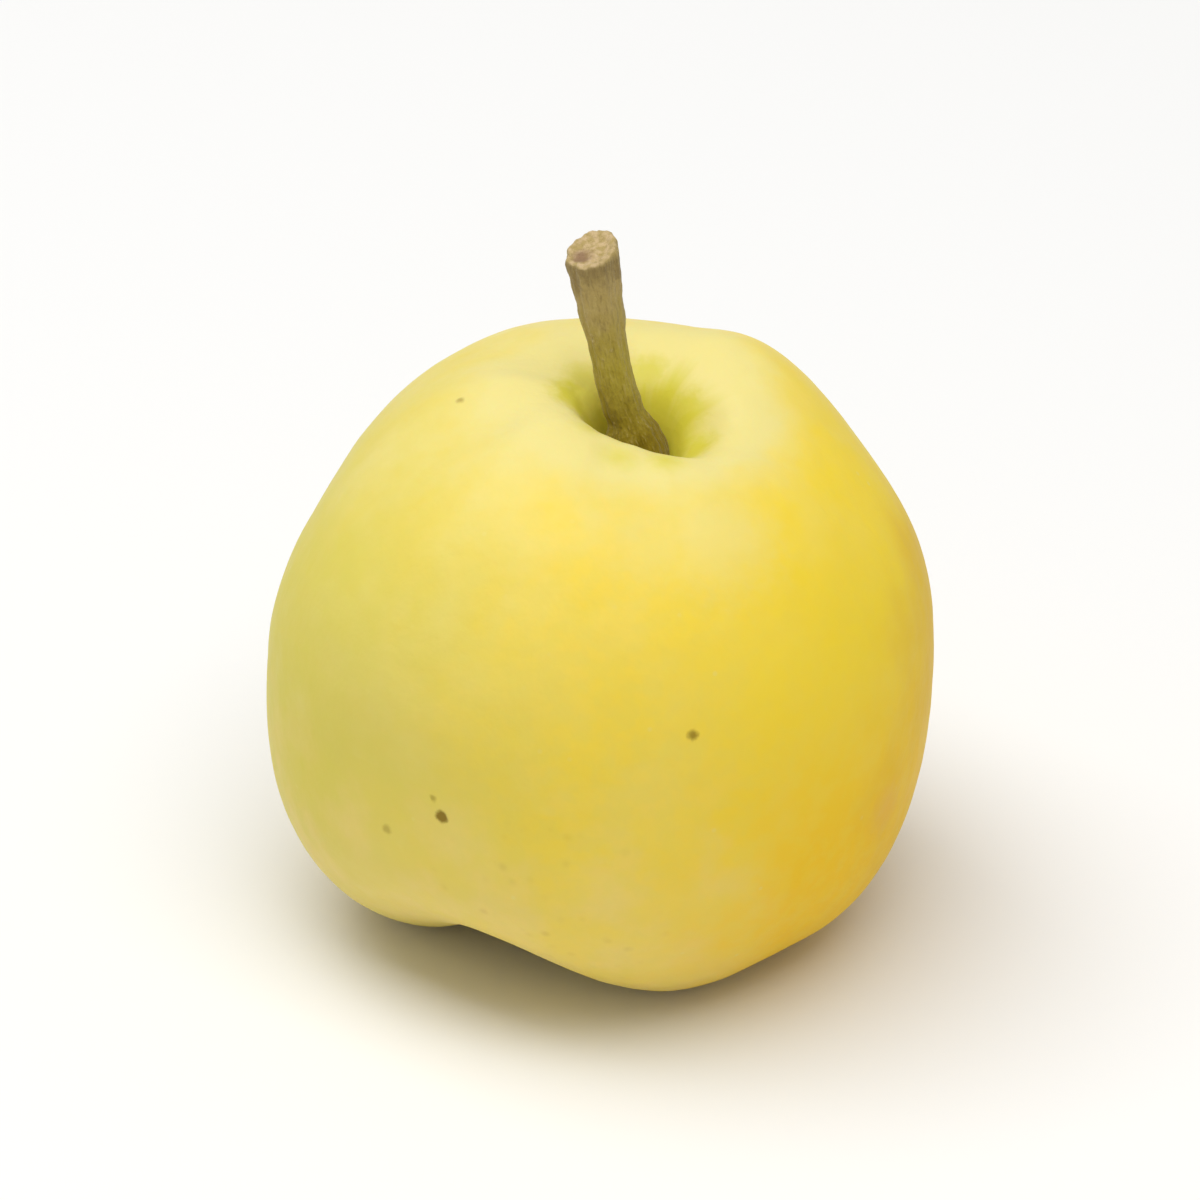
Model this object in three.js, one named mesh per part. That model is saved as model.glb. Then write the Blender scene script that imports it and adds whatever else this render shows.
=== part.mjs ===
// A hawthorn berry as picked: one yellow-green pome, its woody stem in the hollow on top and, in the
// hollow underneath, what is left of the flower: five dried sepals around a disc, with the styles
// and the stamens' threads. Millimetres, +Z up. The fruit stands on the lobes around its calyx
// basin, whose tips are slightly flattened by its weight and lie in the plane z = 0.

import * as THREE from "three";
import { mergeVertices } from "three/addons/utils/BufferGeometryUtils.js";

// ---- Driving dimensions, in millimetres unless a name says degrees or share ----

const FRUIT = {
  radius: 14.05,
  topHeight: 13.3, // from the equator up, before the stem cavity is let in
  baseHeight: 14.3, // from the equator down, before the calyx basin is let in
  topSquareness: 2.1, // exponent of the outline; 2 is an ellipse
  baseSquareness: 2.7,
  leanLeft: 0.5, // how far the top stands to the left of the equator
  leanFront: 0.5,
  flatDepth: 0.2, // how much of each lobe's tip is pressed flat
};

// A hollow is let into the skin at (x, y), and is half as deep at halfWidth from there.
const STEM_HOLLOWS = [
  { x: 1.7, y: -0.1, depth: 2.3, halfWidth: 3.4, steepness: 2.6 }, // the open funnel
  { x: 1.4, y: -0.45, depth: 1.9, halfWidth: 1.85, steepness: 8 }, // the pit round the stem's foot
  { x: 3.4, y: -2.3, depth: 0.8, halfWidth: 1.3, steepness: 3 }, // a fold through the near lip
  { x: 4.2, y: -0.5, depth: 0.5, halfWidth: 1, steepness: 3 }, // a fold to the right
];
const CALYX_BASIN = { x: 0, y: 0, depth: 6, halfWidth: 3.9, steepness: 3.3 };

// Grooves divide the base into five lobes of unequal width.
const BASE_GROOVES = [
  { azimuthDeg: 239, depth: 2.8, widthDeg: 33 },
  { azimuthDeg: 319, depth: 0.3, widthDeg: 17 },
  { azimuthDeg: 28, depth: 0.9, widthDeg: 17 },
  { azimuthDeg: 95, depth: 1.0, widthDeg: 18 },
  { azimuthDeg: 158, depth: 0.9, widthDeg: 14 },
];

// Creases run from the stem cavity over the shoulder.
const SHOULDER_CREASES = [
  { azimuthDeg: 205, depth: 0.35, widthDeg: 20 },
  { azimuthDeg: 285, depth: 0.25, widthDeg: 18 },
  { azimuthDeg: 350, depth: 0.35, widthDeg: 18 },
  { azimuthDeg: 60, depth: 0.3, widthDeg: 18 },
  { azimuthDeg: 130, depth: 0.3, widthDeg: 20 },
];

// Broad bumps and flats make the fruit uneven, each around a direction from its middle.
const BUMPS = [
  { azimuthDeg: 162, latitudeDeg: 25, height: -0.95, widthDeg: 25 },
  { azimuthDeg: 42, latitudeDeg: 57, height: 1.4, widthDeg: 20 },
  { azimuthDeg: 115, latitudeDeg: 50, height: 0.55, widthDeg: 24 },
  { azimuthDeg: 232, latitudeDeg: -10, height: -0.85, widthDeg: 25 },
  { azimuthDeg: 300, latitudeDeg: -40, height: -0.45, widthDeg: 22 },
  { azimuthDeg: 340, latitudeDeg: -20, height: -0.3, widthDeg: 25 },
  { azimuthDeg: 250, latitudeDeg: 80, height: 0.25, widthDeg: 9 }, // the near lip of the funnel
];

// Where each kind of relief sets in and where it is whole: by the sine of the latitude, and for
// clearOfAxis by the distance from the axis.
const FADES = {
  hollow: [0.1, 0.6],
  crease: [0.35, 0.9],
  groove: [0.3, 0.85],
  clearOfAxis: [1.2, 4.5],
};

const STEM = {
  radius: 0.78,
  soleRadius: 0.75, // of the flat that faces the floor of the pit
  footRadius: 1.15,
  tipRadius: 1.1,
  footFlare: 2.2, // how long it is until the stem has its own radius
  tipFlare: 4.5,
  slantDeg: 19, // of the scar where it broke off the twig
  slantTowardsDeg: 63, // the azimuth of the scar's high side
  slantStart: 0.8, // the share of the length from which the slant grows
  route: [
    [1.6, -0.25, 0],
    [1.55, -0.25, 0.5],
    [1.25, -0.22, 1.5],
    [0.7, -0.15, 3.3],
    [0.12, 0.05, 6.6],
    [-0.3, 0.2, 9.55],
  ], // x, y and the height over the floor of the pit
};

const SEAT_GAP = 0.1; // between a piece and what it grows on

// What is left of the flower grows on the floor and wall of the calyx basin.
const DISC = { radius: 2.1, height: 0.7, rimWidth: 0.6, hollow: 0.35 };
const SEPAL = { base: 2.3, halfWidth: 1.25, thickness: 0.2, cup: 0.25 };
const SEPALS = [
  { azimuthDeg: 28, length: 2.7, tipLift: 0.2 },
  { azimuthDeg: 95, length: 3.0, tipLift: 0.35 },
  { azimuthDeg: 160, length: 2.6, tipLift: 0.25 },
  { azimuthDeg: 238, length: 3.3, tipLift: 0.9 },
  { azimuthDeg: 322, length: 2.1, tipLift: 0.15 },
];
const STYLE = { count: 5, length: 1.5, radius: 0.14, ring: 0.5, spread: 0.4 };
const STAMEN = { count: 12, radius: 0.11, ring: 1.8, reach: 3.6, drop: 1.3, antherRadius: 0.22 };

const FRUIT_SEGMENTS = 72;
const FRUIT_RINGS = 46;
const POLE_FINENESS = 0.55; // 0 spaces the rings evenly, and nearly 1 crowds them at both ends
const LOOKUP = { steps: 40, share: 0.8 }; // each step takes this share of what is left

// ---- The skin of the fruit ----

const radians = THREE.MathUtils.degToRad;
const { smoothstep } = THREE.MathUtils;

// The smallest turn from one azimuth to another, in radians.
function turn(from, to) {
  return Math.atan2(Math.sin(to - from), Math.cos(to - from));
}

// How deep the grooves or creases of a list are at an azimuth.
function furrow(list, azimuth) {
  return list.reduce((sum, one) => {
    const away = turn(radians(one.azimuthDeg), azimuth) / radians(one.widthDeg);
    return sum + one.depth * Math.exp(-away * away);
  }, 0);
}

function direction(azimuth, latitude) {
  const level = Math.cos(latitude);
  return new THREE.Vector3(
    level * Math.cos(azimuth),
    level * Math.sin(azimuth),
    Math.sin(latitude),
  );
}

function bumpHeight(outward) {
  return BUMPS.reduce((sum, bump) => {
    const middle = direction(radians(bump.azimuthDeg), radians(bump.latitudeDeg));
    const away = outward.angleTo(middle) / radians(bump.widthDeg);
    return sum + bump.height * Math.exp(-away * away);
  }, 0);
}

function hollowDepth(hollow, x, y) {
  const away = Math.hypot(x - hollow.x, y - hollow.y) / hollow.halfWidth;
  return hollow.depth / (1 + away ** hollow.steepness);
}

// A point of the skin, with the equator at z = 0 and before the lobes are pressed flat.
function skin(azimuth, latitude) {
  const upper = latitude > 0;
  const height = upper ? FRUIT.topHeight : FRUIT.baseHeight;
  const power = upper ? FRUIT.topSquareness : FRUIT.baseSquareness;
  const level = Math.cos(latitude);
  const rise = Math.sin(latitude);
  const reach = ((level / FRUIT.radius) ** power + Math.abs(rise / height) ** power) ** (-1 / power);
  const outward = direction(azimuth, latitude);
  const point = outward.clone().multiplyScalar(reach + bumpHeight(outward));

  const crease = furrow(SHOULDER_CREASES, azimuth) * smoothstep(rise, ...FADES.crease);
  const groove = furrow(BASE_GROOVES, azimuth) * smoothstep(-rise, ...FADES.groove);
  const clearOfAxis = smoothstep(reach * level, ...FADES.clearOfAxis);
  point.addScaledVector(outward, -(crease + groove) * clearOfAxis);

  const lean = (Math.max(0, point.z) / FRUIT.topHeight) ** 2;
  point.x -= FRUIT.leanLeft * lean;
  point.y -= FRUIT.leanFront * lean;
  const { x, y } = point;
  const cavity = STEM_HOLLOWS.reduce((sum, hollow) => sum + hollowDepth(hollow, x, y), 0);
  point.z -= smoothstep(rise, ...FADES.hollow) * cavity;
  point.z += smoothstep(-rise, ...FADES.hollow) * hollowDepth(CALYX_BASIN, x, y);
  return point;
}

// The grid is finer towards the poles, where the hollows are.
function latitudeAt(share) {
  const even = 2 * share - 1;
  return (Math.PI / 2) * (even + (POLE_FINENESS * Math.sin(Math.PI * even)) / Math.PI);
}

// How far the equator is above the ground: the lobes reach it with their tips pressed flat.
const EQUATOR_Z = (() => {
  let lowest = 0;
  for (let ring = 0; ring <= FRUIT_RINGS; ring++) {
    for (let segment = 0; segment < FRUIT_SEGMENTS; segment++) {
      const azimuth = (2 * Math.PI * segment) / FRUIT_SEGMENTS;
      lowest = Math.min(lowest, skin(azimuth, latitudeAt(ring / FRUIT_RINGS)).z);
    }
  }
  return -lowest - FRUIT.flatDepth;
})();

// A point of the skin as it stands on the ground.
function standingSkin(azimuth, latitude) {
  const point = skin(azimuth, latitude);
  point.z = Math.max(0, point.z + EQUATOR_Z);
  return point;
}

// The height of the skin over (x, y) on one half of the fruit: end is 1 on top and -1 underneath.
// It turns a direction, step by step, until that direction's point of the skin is over (x, y).
function skinHeight(x, y, end) {
  const found = new THREE.Vector3();
  let across = x / FRUIT.radius;
  let deep = y / FRUIT.radius;
  for (let step = 0; step < LOOKUP.steps; step++) {
    const latitude = end * Math.acos(Math.min(1, Math.hypot(across, deep)));
    found.copy(standingSkin(Math.atan2(deep, across), latitude));
    across += (LOOKUP.share * (x - found.x)) / FRUIT.radius;
    deep += (LOOKUP.share * (y - found.y)) / FRUIT.radius;
  }
  return found.z;
}

// A point in the calyx basin, so far below the skin that a piece of the flower grows on.
function belowBasin(x, y, drop) {
  return new THREE.Vector3(x, y, skinHeight(x, y, -1) - SEAT_GAP - drop);
}

// ---- Making closed meshes ----

// Moves each vertex of a geometry, and merges those that then share a place.
function reshaped(geometry, place) {
  const position = geometry.getAttribute("position");
  const uv = geometry.getAttribute("uv");
  for (let i = 0; i < position.count; i++) {
    const from = new THREE.Vector3().fromBufferAttribute(position, i);
    const to = place(from, uv.getX(i), uv.getY(i));
    position.setXYZ(i, to.x, to.y, to.z);
  }
  geometry.deleteAttribute("uv");
  geometry.deleteAttribute("normal");
  const merged = mergeVertices(geometry, 1e-4);
  merged.computeVertexNormals();
  return merged;
}

// A round rod along a curve, from an outline of [share of the length, radius] that starts and ends
// on the axis. riseAt(x, y, share) pushes a point of the straight rod on along it.
function rod(outline, curve, segments, riseAt = () => 0) {
  const length = curve.getLength();
  const profile = outline.map(([share, radius]) => new THREE.Vector2(radius, share * length));
  const lathe = new THREE.LatheGeometry(profile, segments);
  const side = new THREE.Vector3(0, 1, 0);
  return reshaped(lathe, (from) => {
    const along = from.y + riseAt(from.x, -from.z, from.y / length);
    const share = Math.min(1, along / length);
    const tangent = curve.getTangentAt(share);
    const across = new THREE.Vector3().crossVectors(side, tangent).normalize();
    const third = new THREE.Vector3().crossVectors(across, tangent);
    return curve
      .getPointAt(share)
      .addScaledVector(tangent, along - share * length)
      .addScaledVector(across, from.x)
      .addScaledVector(third, from.z);
  });
}

function piece(name, geometry, color, roughness) {
  const material = new THREE.MeshStandardMaterial({ color, roughness, metalness: 0 });
  const mesh = new THREE.Mesh(geometry, material);
  mesh.name = name;
  return mesh;
}

// ---- The pieces ----

function fruit() {
  const sphere = new THREE.SphereGeometry(1, FRUIT_SEGMENTS, FRUIT_RINGS);
  const geometry = reshaped(sphere, (from, u, v) => standingSkin(2 * Math.PI * u, latitudeAt(v)));
  return piece("fruit", geometry, 0xe0cf52, 0.42);
}

function stem() {
  const [footX, footY] = STEM.route[0];
  const underSole = [-1, 0, 1].map((side) => skinHeight(footX + side * STEM.soleRadius, footY, 1));
  const seat = Math.max(...underSole) + SEAT_GAP;
  const points = STEM.route.map(([x, y, rise]) => new THREE.Vector3(x, y, seat + rise));
  const curve = new THREE.CatmullRomCurve3(points);
  const footFlare = STEM.footFlare / curve.getLength();
  const tipFlare = STEM.tipFlare / curve.getLength();
  const outline = [
    [0, 0],
    [0, STEM.soleRadius],
    [0.12 * footFlare, STEM.footRadius],
    [0.5 * footFlare, 0.86 * STEM.footRadius],
    [footFlare, STEM.radius],
    [1 - tipFlare, 0.97 * STEM.radius],
    [1 - 0.55 * tipFlare, 0.84 * STEM.tipRadius],
    [1 - 0.2 * tipFlare, 0.95 * STEM.tipRadius],
    [1 - 0.08 * tipFlare, STEM.tipRadius],
    [1, 0.86 * STEM.tipRadius],
    [1.02, 0],
  ];
  const slant = Math.tan(radians(STEM.slantDeg));
  const towards = radians(STEM.slantTowardsDeg);
  const geometry = rod(outline, curve, 14, (x, y, share) => {
    const nearTip = smoothstep(share, STEM.slantStart, 1);
    return slant * nearTip * (x * Math.cos(towards) + y * Math.sin(towards));
  });
  return piece("stem", geometry, 0x8d7a49, 0.85);
}

// The saucer that the flower's parts stood on, hanging from the basin's floor.
function disc() {
  const { radius, height, rimWidth, hollow } = DISC;
  const profile = [
    [0, hollow],
    [0.5 * (radius - rimWidth), hollow],
    [radius - rimWidth, 0.1],
    [radius - 0.6 * rimWidth, 0],
    [radius - 0.2 * rimWidth, 0.05],
    [radius, 0.3],
    [radius, height],
    [0.5 * radius, height],
    [0, height],
  ].map(([x, y]) => new THREE.Vector2(x, y));
  const lathe = new THREE.LatheGeometry(profile, 20);
  const geometry = reshaped(lathe, (from) => belowBasin(from.x, -from.z, height - from.y));
  return piece("calyx_disc", geometry, 0x3b2518, 0.9);
}

// A dried sepal: broad where it grows, pointed at the tip, its edges rolled away from the skin.
function sepal({ azimuthDeg, length, tipLift }, index) {
  const middle = radians(azimuthDeg);
  const box = new THREE.BoxGeometry(1, 1, 1, 8, 4, 1);
  const geometry = reshaped(box, (from) => {
    const along = from.x + 0.5;
    const across = 2 * from.y;
    const radius = SEPAL.base + along * length;
    const side = across * SEPAL.halfWidth * (0.06 + 0.94 * (1 - along) ** 0.8);
    const x = radius * Math.cos(middle) - side * Math.sin(middle);
    const y = radius * Math.sin(middle) + side * Math.cos(middle);
    const curl = tipLift * along ** 2 + SEPAL.cup * across ** 2 * (1 - along);
    return belowBasin(x, y, (0.5 - from.z) * SEPAL.thickness + curl);
  });
  return piece(`sepal_${index + 1}`, geometry, 0x86592f, 0.85);
}

// A thread of the flower, from an outline of radii at even shares of its length.
function thread(name, points, radii, color) {
  const curve = new THREE.CatmullRomCurve3(points);
  const outline = radii.map((radius, i) => [i / (radii.length - 1), radius]);
  return piece(name, rod([[0, 0], ...outline, [1, 0]], curve, 6), color, 0.9);
}

function style(index) {
  const azimuth = (2 * Math.PI * index) / STYLE.count + 0.3;
  const { ring, spread, length, radius } = STYLE;
  const foot = belowBasin(
    ring * Math.cos(azimuth),
    ring * Math.sin(azimuth),
    DISC.height - DISC.hollow + SEAT_GAP,
  );
  const sway = new THREE.Vector3(Math.cos(azimuth), Math.sin(azimuth), 0);
  const points = [0, 0.35, 0.7, 1].map((share) => {
    const point = foot.clone().addScaledVector(sway, spread * share ** 2);
    point.z -= length * (1 - 0.12 * (index % 2)) * share;
    return point;
  });
  return thread(`style_${index + 1}`, points, [radius, radius, radius, 1.3 * radius], 0x4a2f1e);
}

function stamen(index) {
  const azimuth = (2 * Math.PI * index) / STAMEN.count + 0.12 * Math.sin(2.4 * index);
  const reach = STAMEN.reach + 0.5 * Math.sin(3.1 * index);
  const swirl = 0.25 * Math.cos(1.7 * index);
  const at = (radius, turned, drop) => {
    return belowBasin(radius * Math.cos(azimuth + turned), radius * Math.sin(azimuth + turned), drop);
  };
  const foot = at(STAMEN.ring, 0, DISC.height + SEAT_GAP);
  const knee = at(STAMEN.ring + 0.2, 0.2 * swirl, DISC.height + SEAT_GAP + 0.5);
  const bend = at(0.5 * (STAMEN.ring + reach), 0.6 * swirl, STAMEN.drop);
  const tip = at(reach, swirl, 0.6 * STAMEN.drop);
  const { radius, antherRadius } = STAMEN;
  const end = index % 4 === 1 ? antherRadius : radius;
  const radii = [radius, radius, radius, radius, 0.5 * (radius + end), end];
  return thread(`stamen_${index + 1}`, [foot, knee, bend, tip], radii, 0x3f281c);
}

const group = new THREE.Group();
group.add(fruit(), stem(), disc(), ...SEPALS.map(sepal));
for (let i = 0; i < STYLE.count; i++) group.add(style(i));
for (let i = 0; i < STAMEN.count; i++) group.add(stamen(i));

// The origin is on the ground, under the middle of the whole berry.
const middle = new THREE.Box3().setFromObject(group).getCenter(new THREE.Vector3());
group.position.set(-middle.x, -middle.y, 0);

export default group;
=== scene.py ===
"""Dresses a hawthorn berry: its waxy, uneven skin, its woody stem, and underneath the dried flower.

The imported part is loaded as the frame, in metres with +Z up. The shapes here follow its own formulas,
with sizes in millimetres in the berry's own axes, and become metres in the frame when a mesh is made.
"""

from __future__ import annotations

import logging
import math
from collections.abc import Iterable, Mapping, Sequence
from dataclasses import dataclass, field
from enum import Enum
from typing import Any

import bmesh
import bpy
import numpy as np
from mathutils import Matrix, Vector, noise

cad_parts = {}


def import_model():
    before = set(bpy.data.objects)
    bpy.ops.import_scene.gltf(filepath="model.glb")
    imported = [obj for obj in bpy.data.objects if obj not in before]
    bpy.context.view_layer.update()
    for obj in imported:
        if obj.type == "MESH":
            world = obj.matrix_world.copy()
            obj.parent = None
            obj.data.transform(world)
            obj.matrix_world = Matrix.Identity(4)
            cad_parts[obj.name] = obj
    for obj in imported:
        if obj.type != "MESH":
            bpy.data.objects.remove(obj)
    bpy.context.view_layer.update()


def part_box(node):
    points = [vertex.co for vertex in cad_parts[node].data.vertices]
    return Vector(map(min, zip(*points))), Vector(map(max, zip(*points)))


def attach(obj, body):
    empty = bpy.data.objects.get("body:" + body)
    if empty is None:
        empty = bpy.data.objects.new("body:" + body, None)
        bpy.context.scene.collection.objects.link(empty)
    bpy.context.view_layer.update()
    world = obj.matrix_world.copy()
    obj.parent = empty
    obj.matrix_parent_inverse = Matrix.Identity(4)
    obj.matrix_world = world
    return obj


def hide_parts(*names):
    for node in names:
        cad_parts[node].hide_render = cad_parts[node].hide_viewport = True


Array = np.ndarray
Face = Sequence[int]
Colour = tuple[float, float, float]
Place = tuple[float, float, float]
Pair = tuple[float, float]
Material = bpy.types.Material
Piece = bpy.types.Object
Socket = bpy.types.NodeSocket
Tree = bpy.types.NodeTree

MM = 0.001
BODY = "root"
LOG = logging.getLogger("hawthorn_berry")


class End(Enum):
    """The two ends of the fruit's axis: where the stem is, and where the flower was."""

    STEM = 1
    CALYX = -1


class Slot(Enum):
    """The record's material slots."""

    SKIN = "skin"
    STEM = "stem_bark"
    DISC = "dried_disc"
    SEPAL = "dried_sepal"
    THREAD = "dried_thread"


# ---- Shape helpers ----


def smoothstep(value: Array, low: float, high: float) -> Array:
    """Eases from 0 to 1 as a value goes from low to high."""
    share = np.clip((value - low) / (high - low), 0.0, 1.0)
    return share * share * (3.0 - 2.0 * share)


def stacked(*axes: Array | float) -> Array:
    """Joins coordinates into points along a new last axis, once all are spread to one shape."""
    return np.stack(np.broadcast_arrays(*axes), axis=-1)


def directions(azimuth: Array, latitude: Array) -> Array:
    """Turns azimuths and latitudes in radians into unit vectors."""
    level = np.cos(latitude)
    return stacked(level * np.cos(azimuth), level * np.sin(azimuth), np.sin(latitude))


def circle(count: int) -> Array:
    """Gives so many angles in radians, in even steps around a full turn."""
    return np.linspace(0.0, 2.0 * np.pi, count, endpoint=False)


def grid(rows: Array, columns: Array) -> tuple[Array, Array]:
    """Spreads one list of numbers down the rows of a grid and another along its columns."""
    return tuple(np.meshgrid(rows, columns, indexing="ij"))


def normalised(vectors: Array) -> Array:
    """Gives a list of vectors the length 1."""
    return vectors / np.linalg.norm(vectors, axis=1, keepdims=True)


def grain(points: Array, wavelength: float, octaves: int = 3) -> Array:
    """Gives smooth solid noise, the same on every run.

    Args:
        points: Positions in millimetres, with x, y and z on the last axis.
        wavelength: The size of the largest swells, in millimetres.
        octaves: How many finer layers it has.

    Returns:
        Numbers from about -1 to 1, one for each point.
    """
    flat = (points / wavelength).reshape(-1, 3)
    found = [noise.fractal(Vector(p), 1.0, 2.0, octaves) for p in flat]
    return np.array(found).reshape(points.shape[:-1])


def eased_profile(knots: Sequence[Pair], at: Array) -> Array:
    """Reads a profile between its knots, easing in and out of each.

    Args:
        knots: Pairs of a place and the profile's value there, in rising order of place.
        at: The places to read.

    Returns:
        The values at those places.
    """
    places, values = np.array(knots).T
    index = np.clip(np.searchsorted(places, at, side="right") - 1, 0, len(places) - 2)
    share = (at - places[index]) / (places[index + 1] - places[index])
    return values[index] + (values[index + 1] - values[index]) * smoothstep(share, 0.0, 1.0)


# ---- The form of the fruit ----


@dataclass(frozen=True)
class Hollow:
    """A hollow let into the skin, half as deep at half_width from its middle."""

    x: float
    y: float
    depth: float
    half_width: float
    steepness: float

    def depth_at(self, x: Array, y: Array) -> Array:
        """Gives how far the skin is let in over each (x, y)."""
        away = np.hypot(x - self.x, y - self.y) / self.half_width
        return self.depth / (1.0 + away**self.steepness)


@dataclass(frozen=True)
class Furrow:
    """A groove or crease that runs up the skin at one azimuth."""

    azimuth_deg: float
    depth: float
    width_deg: float

    def depth_at(self, azimuth: Array) -> Array:
        """Gives its depth at each azimuth.

        Args:
            azimuth: Angles around the axis, in radians.

        Returns:
            The depths in millimetres.
        """
        turn = azimuth - math.radians(self.azimuth_deg)
        away = np.arctan2(np.sin(turn), np.cos(turn)) / math.radians(self.width_deg)
        return self.depth * np.exp(-(away**2))


@dataclass(frozen=True)
class Bump:
    """A broad bump, or a flat if its height is negative, around a direction from the middle."""

    azimuth_deg: float
    latitude_deg: float
    height: float
    width_deg: float

    def height_at(self, outward: Array) -> Array:
        """Gives its height in each direction.

        Args:
            outward: Unit vectors from the middle.

        Returns:
            The heights in millimetres.
        """
        middle = directions(np.radians(self.azimuth_deg), np.radians(self.latitude_deg))
        away = np.arccos(np.clip(outward @ middle, -1.0, 1.0)) / math.radians(self.width_deg)
        return self.height * np.exp(-(away**2))


@dataclass
class FruitForm:
    """The smooth form of the fruit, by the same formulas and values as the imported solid.

    Sizes are in millimetres. squareness is the exponent of the outline: 2 is an ellipse. Each span is
    where a shape comes in: by the sine of the latitude, or for core_span by the distance to the axis.
    """

    radius: float = 14.05
    top_height: float = 13.3
    base_height: float = 14.3
    top_squareness: float = 2.1
    base_squareness: float = 2.7
    lean_right: float = -0.5
    lean_front: float = 0.5
    flat_depth: float = 0.2
    crease_span: Pair = (0.35, 0.9)
    groove_span: Pair = (0.3, 0.85)
    hollow_span: Pair = (0.1, 0.6)
    core_span: Pair = (1.2, 4.5)
    samples: int = 361
    search_steps: int = 40
    search_share: float = 0.8
    stem_hollows: tuple[Hollow, ...] = (
        Hollow(1.7, -0.1, 2.3, 3.4, 2.6),
        Hollow(1.4, -0.45, 1.9, 1.85, 8.0),
        Hollow(3.4, -2.3, 0.8, 1.3, 3.0),
        Hollow(4.2, -0.5, 0.5, 1.0, 3.0),
    )
    calyx_basin: Hollow = Hollow(0.0, 0.0, 6.0, 3.9, 3.3)
    base_grooves: tuple[Furrow, ...] = (
        Furrow(239, 2.8, 33),
        Furrow(319, 0.3, 17),
        Furrow(28, 0.9, 17),
        Furrow(95, 1.0, 18),
        Furrow(158, 0.9, 14),
    )
    shoulder_creases: tuple[Furrow, ...] = (
        Furrow(205, 0.35, 20),
        Furrow(285, 0.25, 18),
        Furrow(350, 0.35, 18),
        Furrow(60, 0.3, 18),
        Furrow(130, 0.3, 20),
    )
    bumps: tuple[Bump, ...] = (
        Bump(162, 25, -0.95, 25),
        Bump(42, 57, 1.4, 20),
        Bump(115, 50, 0.55, 24),
        Bump(232, -10, -0.85, 25),
        Bump(300, -40, -0.45, 22),
        Bump(340, -20, -0.3, 25),
        Bump(250, 80, 0.25, 9),
    )
    equator_z: float = field(init=False, default=0.0)
    shift: Array = field(init=False, default_factory=lambda: np.zeros(3))

    def __post_init__(self) -> None:
        """Stands the form on its flattened lobes, in the middle of the frame's own fruit."""
        half_turn = np.linspace(-0.5 * np.pi, 0.5 * np.pi, self.samples)
        latitude, azimuth = grid(half_turn, 2.0 * half_turn)
        grown = self.grown(azimuth, latitude)
        self.equator_z = -grown[..., 2].min() - self.flat_depth
        low, high = (np.array(corner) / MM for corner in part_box("fruit"))
        middle = 0.5 * (grown.min(axis=(0, 1)) + grown.max(axis=(0, 1)))
        self.shift = (0.5 * (low + high) - middle) * np.array([1.0, 1.0, 0.0])

    def grown(self, azimuth: Array, latitude: Array) -> Array:
        """Gives the skin with its equator at z = 0, before the lobes are pressed flat.

        Args:
            azimuth: Angles around the axis, in radians.
            latitude: Angles above the equator, in radians.

        Returns:
            Points in millimetres, with x, y and z on the last axis.
        """
        upper = latitude > 0
        height = np.where(upper, self.top_height, self.base_height)
        power = np.where(upper, self.top_squareness, self.base_squareness)
        level, rise = np.cos(latitude), np.sin(latitude)
        reach = ((level / self.radius) ** power + np.abs(rise / height) ** power) ** (-1.0 / power)
        outward = directions(azimuth, latitude)
        bump = sum(one.height_at(outward) for one in self.bumps)
        crease = sum(one.depth_at(azimuth) for one in self.shoulder_creases)
        groove = sum(one.depth_at(azimuth) for one in self.base_grooves)
        furrow = crease * smoothstep(rise, *self.crease_span)
        furrow += groove * smoothstep(-rise, *self.groove_span)
        furrow *= smoothstep(reach * level, *self.core_span)
        point = outward * (reach + bump - furrow)[..., None]
        lean = (np.maximum(0.0, point[..., 2]) / self.top_height) ** 2
        point[..., 0] += self.lean_right * lean
        point[..., 1] -= self.lean_front * lean
        x, y = point[..., 0].copy(), point[..., 1].copy()
        cavity = sum(one.depth_at(x, y) for one in self.stem_hollows)
        point[..., 2] -= smoothstep(rise, *self.hollow_span) * cavity
        point[..., 2] += smoothstep(-rise, *self.hollow_span) * self.calyx_basin.depth_at(x, y)
        return point

    def standing(self, azimuth: Array, latitude: Array) -> Array:
        """Gives the skin as it stands on the ground, in the berry's own axes.

        Args:
            azimuth: Angles around the axis, in radians.
            latitude: Angles above the equator, in radians.

        Returns:
            Points in millimetres.
        """
        point = self.grown(azimuth, latitude)
        point[..., 2] = np.maximum(0.0, point[..., 2] + self.equator_z)
        return point

    def height_over(self, x: Array, y: Array, end: End) -> Array:
        """Finds the height of the skin over each (x, y), on one half of the fruit.

        Args:
            x: Places in millimetres, in the berry's own axes.
            y: As x.
            end: Which half of the fruit.

        Returns:
            The heights in millimetres.
        """
        across, deep = x / self.radius, y / self.radius
        for _ in range(self.search_steps):
            latitude = end.value * np.arccos(np.minimum(1.0, np.hypot(across, deep)))
            point = self.standing(np.arctan2(deep, across), latitude)
            across = across + self.search_share * (x - point[..., 0]) / self.radius
            deep = deep + self.search_share * (y - point[..., 1]) / self.radius
        return point[..., 2]

    def below_basin(self, x: Array | float, y: Array | float, drop: Array | float) -> Array:
        """Gives points in the calyx basin, each so far below the skin over it."""
        x, y = np.broadcast_arrays(np.asarray(x, dtype=float), np.asarray(y, dtype=float))
        return stacked(x, y, self.height_over(x, y, End.CALYX) - drop)

    def spot(self, azimuth_deg: float, latitude_deg: float) -> Place:
        """Gives a place on the skin in the frame, in millimetres."""
        azimuth, latitude = np.radians([[azimuth_deg], [latitude_deg]])
        return tuple((self.standing(azimuth, latitude)[0] + self.shift).tolist())


# ---- Meshes ----


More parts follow.
